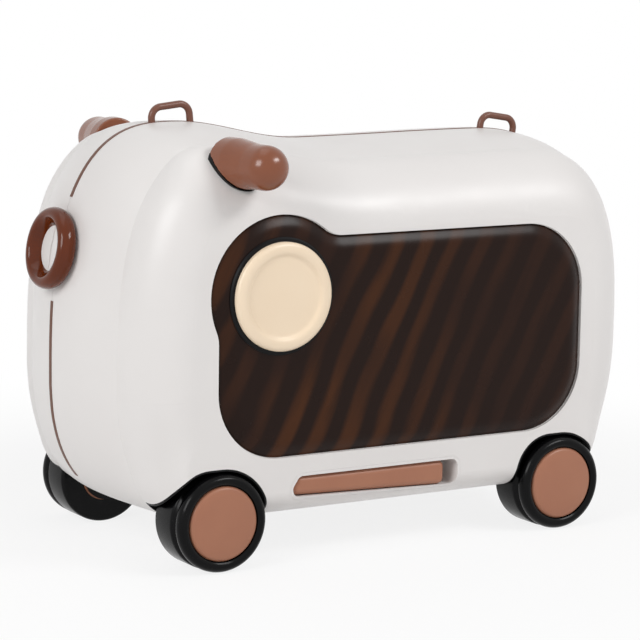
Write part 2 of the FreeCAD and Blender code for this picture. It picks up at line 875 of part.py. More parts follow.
panel_face = size["half_width"] + size["panel_proud"]
eye_place = Placement(Vector(size["eye_ahead"], panel_face, size["eye_height"]), Y_AXIS)
collar_disc = cylinder("left_collar_disc", "collar_radius", "collar_height", eye_place)
eye_turn = Placement(
    Vector(size["eye_ahead"], panel_face + size["collar_height"], size["eye_height"]), Rotation(Vector(0, 0, 1), 90)
)
doc.recompute()
eye_collar = doc.addObject("Part::Chamfer", "left_eye_collar")
eye_collar.Base = collar_disc
collar_edges = []
for number, edge in enumerate(collar_disc.Shape.Edges, 1):
    if edge.Curve.TypeId == "Part::GeomCircle" and edge.BoundBox.YMin > panel_face + size["collar_height"] / 2:
        collar_edges.append((number, size["collar_edge"], size["collar_edge"]))
eye_collar.Edges = collar_edges
eye_disc = turned(
    "left_eye_disc",
    [
        ("0", "0"),
        ("0", "eye_radius"),
        ("eye_thickness", "eye_radius"),
        ("eye_thickness", "eye_dish_radius"),
        ("eye_thickness - eye_dish_depth", "eye_dish_radius - 1.5"),
        ("eye_thickness - eye_dish_depth", "0"),
    ],
    eye_turn,
    [
        (size["eye_thickness"], size["eye_radius"], "eye_edge"),
        (size["eye_thickness"], size["eye_dish_radius"], "eye_edge / 2"),
        (0.0, size["eye_radius"], "eye_edge / 2"),
    ],
)
grip_turn = Placement(grip_base - grip_axis * size["grip_root"], Rotation(Vector(1, 0, 0), grip_axis))
grip_raw = turned(
    "left_grip_raw",
    [
        ("0", "0"),
        ("0", "grip_base_radius"),
        ("grip_root", "grip_base_radius"),
        ("grip_root + 10", "(grip_base_radius + grip_radius) / 2"),
        ("grip_root + 22", "grip_radius"),
        ("grip_root + grip_length", "grip_radius"),
        ("grip_root + grip_length", "0"),
    ],
    grip_turn,
    [(size["grip_root"] + size["grip_length"], size["grip_radius"], "grip_end_round")],
)
bolt_shank = cylinder("left_bolt_shank", "bolt_radius", "grip_boss_depth + bolt_reach", along_bolt(bolt_start))
bolt_head = cylinder(
    "left_bolt_head",
    "bolt_head_radius",
    "bolt_head_height",
    along_bolt(bolt_start - size["bolt_head_height"]),
)
left_bolt = fused("left_grip_bolt", [bolt_shank, bolt_head])
left_grip = cut("left_grip", cut("left_grip_seated", grip_raw, grown_form), bolt_shank)
washer_disc = cylinder("left_washer_disc", "washer_radius", "grip_root * 2", along_grip(-size["grip_root"]))
washer_shell = cut("left_washer_shell", common("left_washer_raw", washer_disc, grown_form), outer_form)
washer_bore = cylinder("left_washer_bore", "bolt_radius + fit_gap", "grip_boss_depth * 3", along_bolt(bolt_start))
left_washer = cut("left_grip_washer", washer_shell, washer_bore)
pieces += [eye_collar, eye_disc, left_grip, left_bolt, left_washer]
doc.recompute()


# Footrest: a bar with two arms that slides in the sleeves of its housing

slot_block = solid("slot_block", slot_form(size["slot_wall"], 0.0, slot_back, slot_front))
slot_room = solid("slot_room", slot_form(0.0, 0.0, size["slot_floor"], slot_front))
slot_cup = common("slot_cup", cut("slot_raw", slot_block, slot_room), outer_form)
bar_middle = "arm_centre"
arm_spots = {"fore": "slot_ahead_top - arm_inset", "back": "-slot_behind + bar_rear_gap + arm_inset"}
arms = []
sleeves = []
arm_holes = []
for word, spot in arm_spots.items():
    arms.append(
        box(
            f"left_{word}_arm",
            (f"{spot} - arm_width / 2", "arm_inner", f"{bar_middle} - arm_height / 2"),
            ("arm_width", "bar_inner - arm_inner + 1", "arm_height"),
        )
    )
    arms.append(
        box(
            f"left_{word}_arm_head",
            (
                f"{spot} - arm_width / 2 - arm_head_rim",
                "arm_inner - arm_head",
                f"{bar_middle} - arm_height / 2 - arm_head_rim",
            ),
            ("arm_width + 2 * arm_head_rim", "arm_head", "arm_height + 2 * arm_head_rim"),
        )
    )
    wide = "(arm_width / 2 + slide_clearance)"
    tall = "(arm_height / 2 + slide_clearance)"
    sleeves.append(
        box(
            f"{word}_sleeve",
            (
                f"{spot} - {wide} - sleeve_wall",
                "slot_floor - slot_wall - sleeve_length",
                f"{bar_middle} - {tall} - sleeve_wall",
            ),
            (f"2 * {wide} + 2 * sleeve_wall", "sleeve_length + slot_wall", f"2 * {tall} + 2 * sleeve_wall"),
        )
    )
    arm_holes.append(
        box(
            f"{word}_arm_hole",
            (f"{spot} - {wide}", "0", f"{bar_middle} - {tall}"),
            (f"2 * {wide}", "half_width", f"2 * {tall}"),
        )
    )
housing = cut("left_footrest_housing", fused("slot_body", [slot_cup] + sleeves), fused("arm_tool", arm_holes))
bar_block = slot_form(-size["bar_gap"], size["bar_rear_gap"], size["bar_inner"], size["bar_outer"])
bar_rims = [edge for edge in bar_block.Edges if edge.BoundBox.YLength < 0.01]
bar = solid("left_bar", bar_block.makeFillet(size["bar_round"], bar_rims))
footrest = fused("left_footrest", [bar] + arms)
pieces += [housing, footrest]
doc.recompute()


# Right side: mirror images of the left pieces

for item in list(pieces):
    if item.Name.startswith("left_") and item is not left_shell:
        pieces.append(mirrored(item.Name.replace("left_", "right_", 1), item))


# Strap loops, one bent rod each, and their anchors under the rim

def strap_loop(name, place):
    # two legs, two quarter bends and a top bar, all of one rod
    rise = name + "_rise"
    half = size["loop_span"] / 2
    corner = size["loop_corner"]
    bend_z = size[rise] - size["loop_rod"] / 2 - corner
    parts = []
    for side, word in ((-1, "back"), (1, "fore")):
        foot = Placement(Vector(side * half, 0, -size["loop_depth"]), Rotation())
        tall = f"loop_depth + {rise} - loop_rod / 2 - loop_corner"
        parts.append(cylinder(f"{name}_{word}_leg", "loop_rod / 2", tall, place.multiply(foot)))
        bend = doc.addObject("Part::Torus", f"{name}_{word}_bend")
        bind(bend, Radius1="loop_corner", Radius2="loop_rod / 2")
        bend.Angle3 = 90
        centre = Vector(side * (half - corner), 0, bend_z)
        turn = Rotation(Vector(side, 0, 0), Vector(0, 0, 1), Vector(0, -side, 0), "XYZ")
        bend.Placement = place.multiply(Placement(centre, turn))
        parts.append(bend)
    bar_place = Placement(Vector(corner - half, 0, bend_z + corner), Rotation(Vector(0, 1, 0), 90))
    bar_long = "loop_span - 2 * loop_corner"
    parts.append(cylinder(f"{name}_bar", "loop_rod / 2", bar_long, place.multiply(bar_place)))
    return fused(name, parts)


rim_room = solid("rim_room", plate_form(size["rim_depth"], 0.2, size["rim_width"]))
anchors = []
for end, place in loops.items():
    pieces.append(strap_loop(f"{end}_loop", place))
    block = doc.addObject("Part::Box", end + "_anchor_block")
    bind(block, Length="anchor_length", Width="rim_width", Height="loop_depth - 1")
    corner = Vector(-size["anchor_length"] / 2, 0, -size["loop_depth"])
    block.Placement = place.multiply(Placement(corner, Rotation()))
    anchors.append(cut(end + "_anchor", common(end + "_anchor_raw", block, rim_room), leg_tool))
pieces.append(group("loop_anchors", anchors))
pieces += [strips["top"], strips["front"], strips["rear"]]


# Hinges under the case: five knuckles each, three of them on the left leaf

axis_z = "ground_gap - hinge_drop"
knuckle = "(hinge_length - 4 * knuckle_gap) / 5"
leaves = {"left": [], "right": []}
pins = []
X_AXIS = Rotation(Vector(0, 1, 0), 90)
knuckle_long = (size["hinge_length"] - 4 * size["knuckle_gap"]) / 5
for word, sign in (("fore", 1), ("back", -1)):
    start = sign * size["hinge_ahead"] - size["hinge_length"] / 2
    start_text = f"{sign} * hinge_ahead - hinge_length / 2"
    height = size["ground_gap"] - size["hinge_drop"]
    pins.append(
        cylinder(f"{word}_pin", "hinge_pin_radius", "hinge_length", Placement(Vector(start, 0, height), X_AXIS))
    )
    bore = cylinder(
        f"{word}_pin_bore",
        "hinge_pin_radius + running_clearance",
        "hinge_length + 2",
        Placement(Vector(start - 1, 0, height), X_AXIS),
    )
    for side in ("left", "right"):
        inward = "leaf_start" if side == "left" else "-leaf_reach"
        parts = [
            box(
                f"{side}_{word}_plate",
                (start_text, inward, "ground_gap + sole_trim - leaf_thickness"),
                ("hinge_length", "leaf_reach - leaf_start", "leaf_thickness"),
            )
        ]
        for i in range(5):
            if (i % 2 == 0) != (side == "left"):
                continue
            x = start + i * (knuckle_long + size["knuckle_gap"])
            x_text = f"{start_text} + {i} * ({knuckle} + knuckle_gap)"
            place = Placement(Vector(x, 0, height), X_AXIS)
            parts.append(cylinder(f"{side}_{word}_knuckle{i}", "knuckle_radius", knuckle, place))
            web_y = "0" if side == "left" else "-leaf_start - 0.2"
            parts.append(
                box(
                    f"{side}_{word}_web{i}",
                    (x_text, web_y, f"{axis_z} + knuckle_radius - leaf_thickness"),
                    (knuckle, "leaf_start + 0.2", "leaf_thickness - 0.1"),
                )
            )
        leaves[side].append(cut(f"{side}_{word}_leaf", fused(f"{side}_{word}_leaf_body", parts), bore))
for side in leaves:
    pieces.append(group(f"{side}_hinge_leaves", leaves[side]))
pieces.append(group("hinge_pins", pins))
doc.recompute()


# Latches: a ring with its core turns a cam inside, beside a keeper on the right half

keepers = []
for end, (point, normal) in latches.items():
    turn_place = Placement(point, Rotation(Vector(1, 0, 0), normal))

    def lifted(distance):
        return Placement(point + normal * distance, Rotation(Vector(1, 0, 0), normal))

    ring = turned(
        f"{end}_latch_ring",
        [
            ("1.4", "ring_bore"),
            ("0", "ring_radius - 5"),
            ("1", "ring_radius - 3"),
            ("ring_thickness / 2", "ring_radius"),
            ("ring_thickness", "ring_radius"),
            ("ring_thickness", "ring_mouth"),
            ("ring_throat", "ring_bore"),
        ],
        lifted(-size["ring_lift"]),
        [
            (size["ring_thickness"], size["ring_radius"], "ring_edge"),
            (size["ring_thickness"], size["ring_mouth"], "ring_lip"),
        ],
    )
    core_raw = turned(
        f"{end}_core_raw",
        [
            ("0", "0"),
            ("0", "ring_bore - running_clearance"),
            ("core_height - 1", "ring_bore - running_clearance"),
            ("core_height", "0"),
        ],
        lifted(0.6),
    )
    groove = doc.addObject("Part::Box", end + "_core_groove")
    bind(groove, Length="core_groove", Width="core_groove", Height="ring_radius * 2")
    groove.Placement = turn_place.multiply(
        Placement(
            Vector(size["core_height"] - 1, -size["core_groove"] / 2, -size["ring_radius"]),
            Rotation(),
        )
    )
    inside = -size["spindle_reach"]
    spindle = cylinder(
        f"{end}_spindle", "spindle_radius", "spindle_reach + core_height - 2", along_latch(end, inside)
    )
    core = cut(f"{end}_latch_core", cut(f"{end}_core_grooved", core_raw, groove), spindle)
    cam_hub = cylinder(
        f"{end}_cam_hub",
        "cam_width * 0.75",
        "cam_thickness",
        along_latch(end, -size["cam_offset"] - size["cam_thickness"]),
    )
    # the cam arm points to -Y, its length lies along the box's Y
    sign = 1 if normal.x > 0 else -1
    tilt = Rotation(Vector(sign, 0, 0), normal)
    arm = doc.addObject("Part::Box", end + "_cam_arm")
    bind(arm, Length="cam_thickness", Width="cam_length", Height="cam_width")
    corner = Vector(
        -size["cam_offset"] - size["cam_thickness"] if sign > 0 else size["cam_offset"],
        -size["cam_length"],
        -size["cam_width"] / 2,
    )
    arm.Placement = Placement(point, tilt).multiply(Placement(corner, Rotation()))
    cam = cut(f"{end}_latch_cam", fused(f"{end}_cam_body", [cam_hub, arm]), spindle)
    block = doc.addObject("Part::Box", end + "_keeper_block")
    bind(block, Length="keeper_depth", Width="keeper_width", Height="keeper_height")
    corner = Vector(
        -size["keeper_depth"] if sign > 0 else 0.0,
        -size["keeper_start"] - size["keeper_width"],
        -size["cam_width"] / 2 - size["keeper_clearance"] - size["keeper_height"],
    )
    block.Placement = Placement(point, tilt).multiply(Placement(corner, Rotation()))
    keepers.append(common(f"{end}_keeper", block, inner_mirror))
    pieces += [ring, core, spindle, cam]
pieces.append(group("latch_keepers", keepers))
doc.recompute()


# Check every object, then write one file for each piece

for item in doc.Objects:
    if "Invalid" in item.State or "Error" in item.State:
        raise RuntimeError(f"{item.Name} did not build: {item.State}")
os.makedirs("parts", exist_ok=True)
for item in pieces:
    shape = item.Shape
    if shape.isNull() or not shape.isValid():
        raise RuntimeError(f"{item.Name} has no valid shape")
    if not item.Label.endswith("_strip"):
        item.Label = item.Name
    shape.exportStep(f"parts/{item.Label}.step")
print(len(pieces), "pieces written")
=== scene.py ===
import bpy
import json
import math
from mathutils import Matrix, Vector

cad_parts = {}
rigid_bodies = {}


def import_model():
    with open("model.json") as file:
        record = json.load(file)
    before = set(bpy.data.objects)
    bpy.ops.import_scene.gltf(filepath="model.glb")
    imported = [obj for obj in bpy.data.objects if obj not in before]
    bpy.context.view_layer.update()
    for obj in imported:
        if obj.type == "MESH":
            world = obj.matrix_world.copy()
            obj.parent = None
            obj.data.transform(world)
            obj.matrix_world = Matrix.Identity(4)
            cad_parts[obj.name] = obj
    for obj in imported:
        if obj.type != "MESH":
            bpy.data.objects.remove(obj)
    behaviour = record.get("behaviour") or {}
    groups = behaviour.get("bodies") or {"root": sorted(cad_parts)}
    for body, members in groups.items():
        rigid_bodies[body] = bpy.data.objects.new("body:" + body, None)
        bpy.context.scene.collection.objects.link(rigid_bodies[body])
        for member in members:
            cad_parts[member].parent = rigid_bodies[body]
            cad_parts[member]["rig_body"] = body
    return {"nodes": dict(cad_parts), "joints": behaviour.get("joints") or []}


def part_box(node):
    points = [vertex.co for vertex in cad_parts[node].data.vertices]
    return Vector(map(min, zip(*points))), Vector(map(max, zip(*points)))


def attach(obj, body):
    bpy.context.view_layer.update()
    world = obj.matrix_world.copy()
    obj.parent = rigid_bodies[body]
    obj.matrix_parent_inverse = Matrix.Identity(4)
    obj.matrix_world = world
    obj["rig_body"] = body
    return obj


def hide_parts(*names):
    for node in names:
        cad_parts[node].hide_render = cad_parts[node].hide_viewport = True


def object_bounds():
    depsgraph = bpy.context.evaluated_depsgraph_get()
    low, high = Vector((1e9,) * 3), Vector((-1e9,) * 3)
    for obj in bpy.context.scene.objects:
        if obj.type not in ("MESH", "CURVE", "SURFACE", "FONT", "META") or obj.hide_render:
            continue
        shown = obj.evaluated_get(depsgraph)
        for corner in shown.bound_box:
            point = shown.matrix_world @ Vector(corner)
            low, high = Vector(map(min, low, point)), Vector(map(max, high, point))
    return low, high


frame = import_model()
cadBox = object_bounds()
nodes = frame["nodes"]
print("frame loaded,", len(nodes), "pieces")


# Shared values and small helpers

mmPerMetre = 1000
mergeGap = 1e-6  # metres, under which doubled points become one
smoothUnder = math.radians(40)  # edges that bend less than this are shaded smooth
colourA, colourB, colourOut = 6, 7, 2  # the Mix node's colour sockets
waveTurn = math.tau / 20  # the wave texture's scale for one band to the metre


def linearColour(hexText):
    channels = [int(hexText[i:i + 2], 16) / 255 for i in (1, 3, 5)]
    return [c / 12.92 if c <= 0.04045 else ((c + 0.055) / 1.055) ** 2.4 for c in channels] + [1.0]


def perMetre(sizeMm):
    return mmPerMetre / sizeMm  # a pattern's scale on Object coordinates, from its real size


def addNode(tree, kind, settings, links=None):
    node = tree.nodes.new("ShaderNode" + kind)
    for name, value in settings.items():
        if isinstance(name, str) and name in node.bl_rna.properties:
            setattr(node, name, value)
        else:
            node.inputs[name].default_value = value
    for name, source in (links or {}).items():
        tree.links.new(source, node.inputs[name])
    return node


def newFinish(name):
    finish = bpy.data.materials.new(name)
    finish.use_nodes = True
    tree = finish.node_tree
    place = addNode(tree, "TexCoord", {})
    return finish, tree, tree.nodes["Principled BSDF"], place.outputs["Object"]


# Plastics: each is a pigmented moulding with faint clouding, a fine tool grain and uneven polish
# the grain of a mould is near 0.1 mm, and is drawn about ten times as coarse so that it shows

moulding = {
    "cloudDetail": 3.0, "polishDetail": 4.0, "polishFromTo": (0.3, 0.7),
    "grainDetail": 2.0, "grainStrength": 0.5, "ior": 1.5,
}
plastics = {
    # ABS shell, spark-eroded mould: pale satin skin that goes a little duller in patches
    "satinIvoryAbs": {
        "colours": ("#ECE9E7", "#E3DFDD"), "cloudMm": 110, "grainMm": 1.5, "grainDepthMm": 0.012,
        "roughness": (0.34, 0.44), "polishMm": 35, "gloss": 0.5,
    },
    # ABS eye discs: warm cream with a satin skin
    "creamAbs": {
        "colours": ("#FAE6CB", "#F2DBBE"), "cloudMm": 60, "grainMm": 1.2, "grainDepthMm": 0.01,
        "roughness": (0.3, 0.4), "polishMm": 20, "gloss": 0.5,
    },
    # soft grip rubber, polished mould: deep brown with rounded highlights
    "glossyBrownTpe": {
        "colours": ("#8A4E31", "#7C4429"), "cloudMm": 30, "grainMm": 1.6, "grainDepthMm": 0.004,
        "roughness": (0.18, 0.26), "polishMm": 14, "gloss": 0.5,
    },
    # hubs, hub caps and footrest bars: satin tan moulding
    "satinTanAbs": {
        "colours": ("#AE775C", "#A16A52"), "cloudMm": 40, "grainMm": 1.2, "grainDepthMm": 0.01,
        "roughness": (0.34, 0.44), "polishMm": 18, "gloss": 0.4,
    },
    # latch rings: polished chestnut moulding
    "polishedChestnutAbs": {
        "colours": ("#6B2E0E", "#562309"), "cloudMm": 18, "grainMm": 1.2, "grainDepthMm": 0.004,
        "roughness": (0.1, 0.17), "polishMm": 10, "gloss": 0.26,
    },
    # strap loops: rose-brown moulding
    "roseBrownAbs": {
        "colours": ("#794C3B", "#6B4233"), "cloudMm": 22, "grainMm": 1.1, "grainDepthMm": 0.008,
        "roughness": (0.26, 0.38), "polishMm": 12, "gloss": 0.45,
    },
    # split strips: a like moulding in a darker shade
    "darkRoseAbs": {
        "colours": ("#6B402C", "#5E3725"), "cloudMm": 22, "grainMm": 1.1, "grainDepthMm": 0.008,
        "roughness": (0.3, 0.42), "polishMm": 12, "gloss": 0.3,
    },
    # wheel tyres: cast polyurethane, wet black
    "glossyBlackPu": {
        "colours": ("#060607", "#0C0C0D"), "cloudMm": 16, "grainMm": 2.0, "grainDepthMm": 0.006,
        "roughness": (0.16, 0.26), "polishMm": 9, "gloss": 0.12,
    },
    # arch liners and latch cams: grained black polypropylene; eye collars and grip washers wear it as painted
    # shade, dark rings that stand for the shadow round the eye discs and under the grips
    "grainedBlackPpAndPaintedShade": {
        "colours": ("#0B0B0C", "#131315"), "cloudMm": 20, "grainMm": 1.0, "grainDepthMm": 0.02,
        "roughness": (0.34, 0.48), "polishMm": 12, "gloss": 0.15,
    },
}


def makePlastic(name):
    look = plastics[name]
    finish, tree, shader, place = newFinish(name)
    cloud = addNode(
        tree, "TexNoise",
        {"Scale": perMetre(look["cloudMm"]), "Detail": moulding["cloudDetail"]}, {"Vector": place},
    )
    first, second = [linearColour(colour) for colour in look["colours"]]
    shade = addNode(
        tree, "Mix", {"data_type": "RGBA", colourA: first, colourB: second}, {"Factor": cloud.outputs["Fac"]},
    )
    tree.links.new(shade.outputs[colourOut], shader.inputs["Base Color"])
    polish = addNode(
        tree, "TexNoise",
        {"Scale": perMetre(look["polishMm"]), "Detail": moulding["polishDetail"]}, {"Vector": place},
    )
    dull, bright = moulding["polishFromTo"]
    low, high = look["roughness"]
    uneven = addNode(
        tree, "MapRange", {"From Min": dull, "From Max": bright, "To Min": low, "To Max": high},
        {"Value": polish.outputs["Fac"]},
    )
    tree.links.new(uneven.outputs["Result"], shader.inputs["Roughness"])
    grain = addNode(
        tree, "TexNoise",
        {"Scale": perMetre(look["grainMm"]), "Detail": moulding["grainDetail"]}, {"Vector": place},
    )
    bump = addNode(
        tree, "Bump",
        {"Strength": moulding["grainStrength"], "Distance": look["grainDepthMm"] / mmPerMetre},
        {"Height": grain.outputs["Fac"]},
    )
    tree.links.new(bump.outputs["Normal"], shader.inputs["Normal"])
    shader.inputs["IOR"].default_value = moulding["ior"]
    shader.inputs["Specular IOR Level"].default_value = look["gloss"]
    return finish


# Window: smoked polycarbonate over soft leaning stripes, polished, with little glare on its flat face

smokedWindow = {
    "dark": "#20110B", "brown": "#2A170F", "amber": "#472712",
    "stripeMm": 27, "stripeLean": 26, "stripeWarp": 3.0, "stripeDetail": 2.0, "warpScale": 0.6,
    "streakMm": 16, "streakStretch": 0.14, "streakDetail": 3.0, "inkFromTo": (0.1, 0.5),
    "patchMm": 130, "patchDetail": 1.0, "patchFromTo": (0.36, 0.6),
    "amberFromTo": (-0.12, 0.06), "rearAmber": 0.1,  # metres along the case, and what is left at its rear
    "polishMm": 40, "polishDetail": 3.0, "roughness": (0.2, 0.32), "ior": 1.58, "gloss": 0.1,
}


def makeSmokedWindow():
    look = smokedWindow
    finish, tree, shader, place = newFinish("smokedPolycarbonate")
    lean = addNode(
        tree, "Mapping", {"Rotation": (0.0, math.radians(look["stripeLean"]), 0.0)}, {"Vector": place},
    )
    stripe = addNode(
        tree, "TexWave",
        {
            "Scale": waveTurn * perMetre(look["stripeMm"]), "Distortion": look["stripeWarp"],
            "Detail": look["stripeDetail"], "Detail Scale": look["warpScale"],
        },
        {"Vector": lean.outputs["Vector"]},
    )
    stretch = addNode(
        tree, "Mapping", {"Scale": (1.0, 1.0, look["streakStretch"])}, {"Vector": lean.outputs["Vector"]},
    )
    streak = addNode(
        tree, "TexNoise", {"Scale": perMetre(look["streakMm"]), "Detail": look["streakDetail"]},
        {"Vector": stretch.outputs["Vector"]},
    )
    ink = addNode(
        tree, "Math", {"operation": "MULTIPLY"}, {0: stripe.outputs["Fac"], 1: streak.outputs["Fac"]},
    )
    faint, full = look["inkFromTo"]
    inkEdge = addNode(
        tree, "MapRange", {"interpolation_type": "SMOOTHSTEP", "From Min": faint, "From Max": full},
        {"Value": ink.outputs["Value"]},
    )
    patch = addNode(
        tree, "TexNoise", {"Scale": perMetre(look["patchMm"]), "Detail": look["patchDetail"]},
        {"Vector": lean.outputs["Vector"]},
    )
    faint, full = look["patchFromTo"]
    patchEdge = addNode(
        tree, "MapRange", {"interpolation_type": "SMOOTHSTEP", "From Min": faint, "From Max": full},
        {"Value": patch.outputs["Fac"]},
    )
    axes = addNode(tree, "SeparateXYZ", {}, {"Vector": place})
    rear, front = look["amberFromTo"]
    ahead = addNode(
        tree, "MapRange", {"From Min": rear, "From Max": front, "To Min": look["rearAmber"]},
        {"Value": axes.outputs["X"]},
    )
    amber = addNode(
        tree, "Math", {"operation": "MULTIPLY"}, {0: patchEdge.outputs["Result"], 1: ahead.outputs["Result"]},
    )
    warm = addNode(
        tree, "Mix",
        {"data_type": "RGBA", colourA: linearColour(look["brown"]), colourB: linearColour(look["amber"])},
        {"Factor": amber.outputs["Value"]},
    )
    shade = addNode(
        tree, "Mix", {"data_type": "RGBA", colourA: linearColour(look["dark"])},
        {"Factor": inkEdge.outputs["Result"], colourB: warm.outputs[colourOut]},
    )
    tree.links.new(shade.outputs[colourOut], shader.inputs["Base Color"])
    polish = addNode(
        tree, "TexNoise", {"Scale": perMetre(look["polishMm"]), "Detail": look["polishDetail"]},
        {"Vector": place},
    )
    low, high = look["roughness"]
    uneven = addNode(tree, "MapRange", {"To Min": low, "To Max": high}, {"Value": polish.outputs["Fac"]})
    tree.links.new(uneven.outputs["Result"], shader.inputs["Roughness"])
    shader.inputs["IOR"].default_value = look["ior"]
    shader.inputs["Specular IOR Level"].default_value = look["gloss"]
    return finish


# Zinc-plated steel: a slightly yellow bloom and fine uneven marks, drawn coarser than real so that they show

zincSteel = {
    "bright": "#B9BBBE", "bloom": "#A6A49A", "bloomMm": 9, "bloomDetail": 4.0,
    "markMm": 0.9, "markDetail": 2.0, "roughness": (0.26, 0.46), "metallic": 1.0,
}


def makeZincSteel():
    look = zincSteel
    finish, tree, shader, place = newFinish("zincPlatedSteel")
    bloom = addNode(
        tree, "TexNoise", {"Scale": perMetre(look["bloomMm"]), "Detail": look["bloomDetail"]},
        {"Vector": place},
    )
    shade = addNode(
        tree, "Mix",
        {"data_type": "RGBA", colourA: linearColour(look["bright"]), colourB: linearColour(look["bloom"])},
        {"Factor": bloom.outputs["Fac"]},
    )
    tree.links.new(shade.outputs[colourOut], shader.inputs["Base Color"])
    marks = addNode(
        tree, "TexNoise", {"Scale": perMetre(look["markMm"]), "Detail": look["markDetail"]},
        {"Vector": place},
    )
    low, high = look["roughness"]
    uneven = addNode(tree, "MapRange", {"To Min": low, "To Max": high}, {"Value": marks.outputs["Fac"]})
    tree.links.new(uneven.outputs["Result"], shader.inputs["Roughness"])
    shader.inputs["Metallic"].default_value = look["metallic"]
    return finish


# Which piece has which finish, by the end of its name

finishes = {name: makePlastic(name) for name in plastics}
finishes["smokedPolycarbonate"] = makeSmokedWindow()
finishes["zincPlatedSteel"] = makeZincSteel()
wearing = {
    "satinIvoryAbs": ("shell", "footrest_housing", "latch_core", "loop_anchors", "latch_keepers"),
    "smokedPolycarbonate": ("panel",),
    "creamAbs": ("eye_disc",),
    "glossyBrownTpe": ("grip",),
    "satinTanAbs": ("hub", "hub_cap", "footrest"),
    "polishedChestnutAbs": ("latch_ring",),
    "roseBrownAbs": ("loop",),
    "darkRoseAbs": ("strip",),
    "glossyBlackPu": ("tyre",),
    # eye_collar and grip_washer are black as painted shade: the shadow round the eye discs and under the
    # grips
    "grainedBlackPpAndPaintedShade": ("arch", "eye_collar", "grip_washer", "latch_cam"),
    "zincPlatedSteel": ("axle", "axle_clips", "grip_bolt", "hinge_leaves", "hinge_pins", "spindle"),
}
for name, piece in nodes.items():
    worn = [finish for finish, ends in wearing.items() if name.endswith(ends)]
    piece.data.materials.clear()
    piece.data.materials.append(finishes[worn[0]])
print("finishes given")


# Steps that the new pieces share

def pieceName(node):
    first, *rest = node.split("_")
    return first + "".join(word.capitalize() for word in rest)


def mergedCopy(node, name):
    # leaves the copy in edit mode, all selected
    piece = bpy.data.objects.new(name, nodes[node].data.copy())
    bpy.context.scene.collection.objects.link(piece)
    bpy.ops.object.select_all(action="DESELECT")
    piece.select_set(True)
    bpy.context.view_layer.objects.active = piece
    bpy.ops.object.mode_set(mode="EDIT")
    bpy.ops.mesh.select_all(action="SELECT")
    bpy.ops.mesh.remove_doubles(threshold=mergeGap)
    return piece


def raiseFace(shape, outward):
    # lifts the selected face by its rim, then insets it step by step
    lift = outward * shape["rimMm"] / mmPerMetre
    bpy.ops.mesh.extrude_region_move(TRANSFORM_OT_translate={"value": (0.0, lift, 0.0)})
    for width, rise in shape["stepsMm"]:
        bpy.ops.mesh.inset(thickness=width / mmPerMetre, depth=rise / mmPerMetre)
    bpy.ops.mesh.select_all(action="SELECT")
    bpy.ops.mesh.normals_make_consistent(inside=False)
    bpy.ops.object.mode_set(mode="OBJECT")


def finishPiece(piece, node, finish):
    bpy.ops.object.shade_smooth_by_angle(angle=smoothUnder)
    piece.data.materials.clear()
    piece.data.materials.append(finishes[finish])
    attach(piece, nodes[node]["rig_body"])
    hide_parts(node)
    print(piece.name, "made,", len(piece.data.polygons), "faces")


# Windows: the panel's outline raised out of its recess and drawn in to a soft pillow

pillow = {
    "flatBack": 0.99,  # how squarely a face of the panel looks inwards to count as its back
    "rimMm": 0.2,
    # each step inwards: its width and its rise
    "stepsMm": (
        (0.8, 0.7), (1.2, 0.76), (1.6, 0.91), (2.0, 1.02), (2.0, 0.91),
        (2.0, 0.74), (2.0, 0.46), (2.2, 0.22), (2.4, 0.08), (0.5, 0.0),
    ),
}


def makeWindow(side, outward):
    window = mergedCopy(side + "_panel", side + "Window")
    bpy.ops.mesh.select_all(action="DESELECT")
    bpy.ops.mesh.select_mode(type="FACE")
    bpy.ops.object.mode_set(mode="OBJECT")
    for face in window.data.polygons:
        face.select = face.normal.y * outward > -pillow["flatBack"]  # all but the flat back
    bpy.ops.object.mode_set(mode="EDIT")
    bpy.ops.mesh.delete(type="FACE")
    bpy.ops.mesh.select_all(action="SELECT")
    bpy.ops.mesh.dissolve_faces()
    bpy.ops.mesh.flip_normals()
    raiseFace(pillow, outward)
    finishPiece(window, side + "_panel", "smokedPolycarbonate")


# Eye discs: a round plate whose rim swells and dips softly into a flat dish

eyeDisc = {
    "corners": 128,
    "rimMm": 2.2,
    "stepsMm": (
        (0.35, 1.0), (0.9, 1.0), (1.4, 0.75), (1.7, 0.42), (1.9, 0.1), (1.9, -0.15),
        (1.3, -0.6), (0.9, -0.8), (0.9, -0.7), (1.1, -0.3), (1.4, -0.08), (10.0, 0.0),
    ),
}


def makeEyeDisc(side, outward):
    low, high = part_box(side + "_eye_disc")
    bpy.ops.object.select_all(action="DESELECT")
    bpy.ops.mesh.primitive_circle_add(
        vertices=eyeDisc["corners"], radius=(high.x - low.x) / 2, fill_type="NGON",
        location=((low.x + high.x) / 2, low.y if outward > 0 else high.y, (low.z + high.z) / 2),
        rotation=(math.radians(-90 * outward), 0.0, 0.0),
    )
    disc = bpy.context.object
    disc.name = side + "EyeDisc"
    bpy.ops.object.transform_apply(location=True, rotation=True, scale=True)
    bpy.ops.object.mode_set(mode="EDIT")
    bpy.ops.mesh.select_all(action="SELECT")
    raiseFace(eyeDisc, outward)
    finishPiece(disc, side + "_eye_disc", "creamAbs")


# Grips: the moulded form with its cone and barrel run smoothly together

gripSkin = {"meshMm": 0.8, "softening": 0.5, "passes": 16}


def makeGrip(side):
    node = side + "_grip"
    grip = mergedCopy(node, pieceName(node))
    bpy.ops.object.mode_set(mode="OBJECT")
    skin = grip.modifiers.new("evenSkin", "REMESH")
    skin.mode = "VOXEL"
    skin.voxel_size = gripSkin["meshMm"] / mmPerMetre
    soft = grip.modifiers.new("softEdges", "SMOOTH")
    soft.factor = gripSkin["softening"]
    soft.iterations = gripSkin["passes"]
    for name in ("evenSkin", "softEdges"):
        bpy.ops.object.modifier_apply(modifier=name)
    finishPiece(grip, node, "glossyBrownTpe")


# Turned pieces: a ring of edges drawn along a profile of (along, radius) in mm, then set on its axle

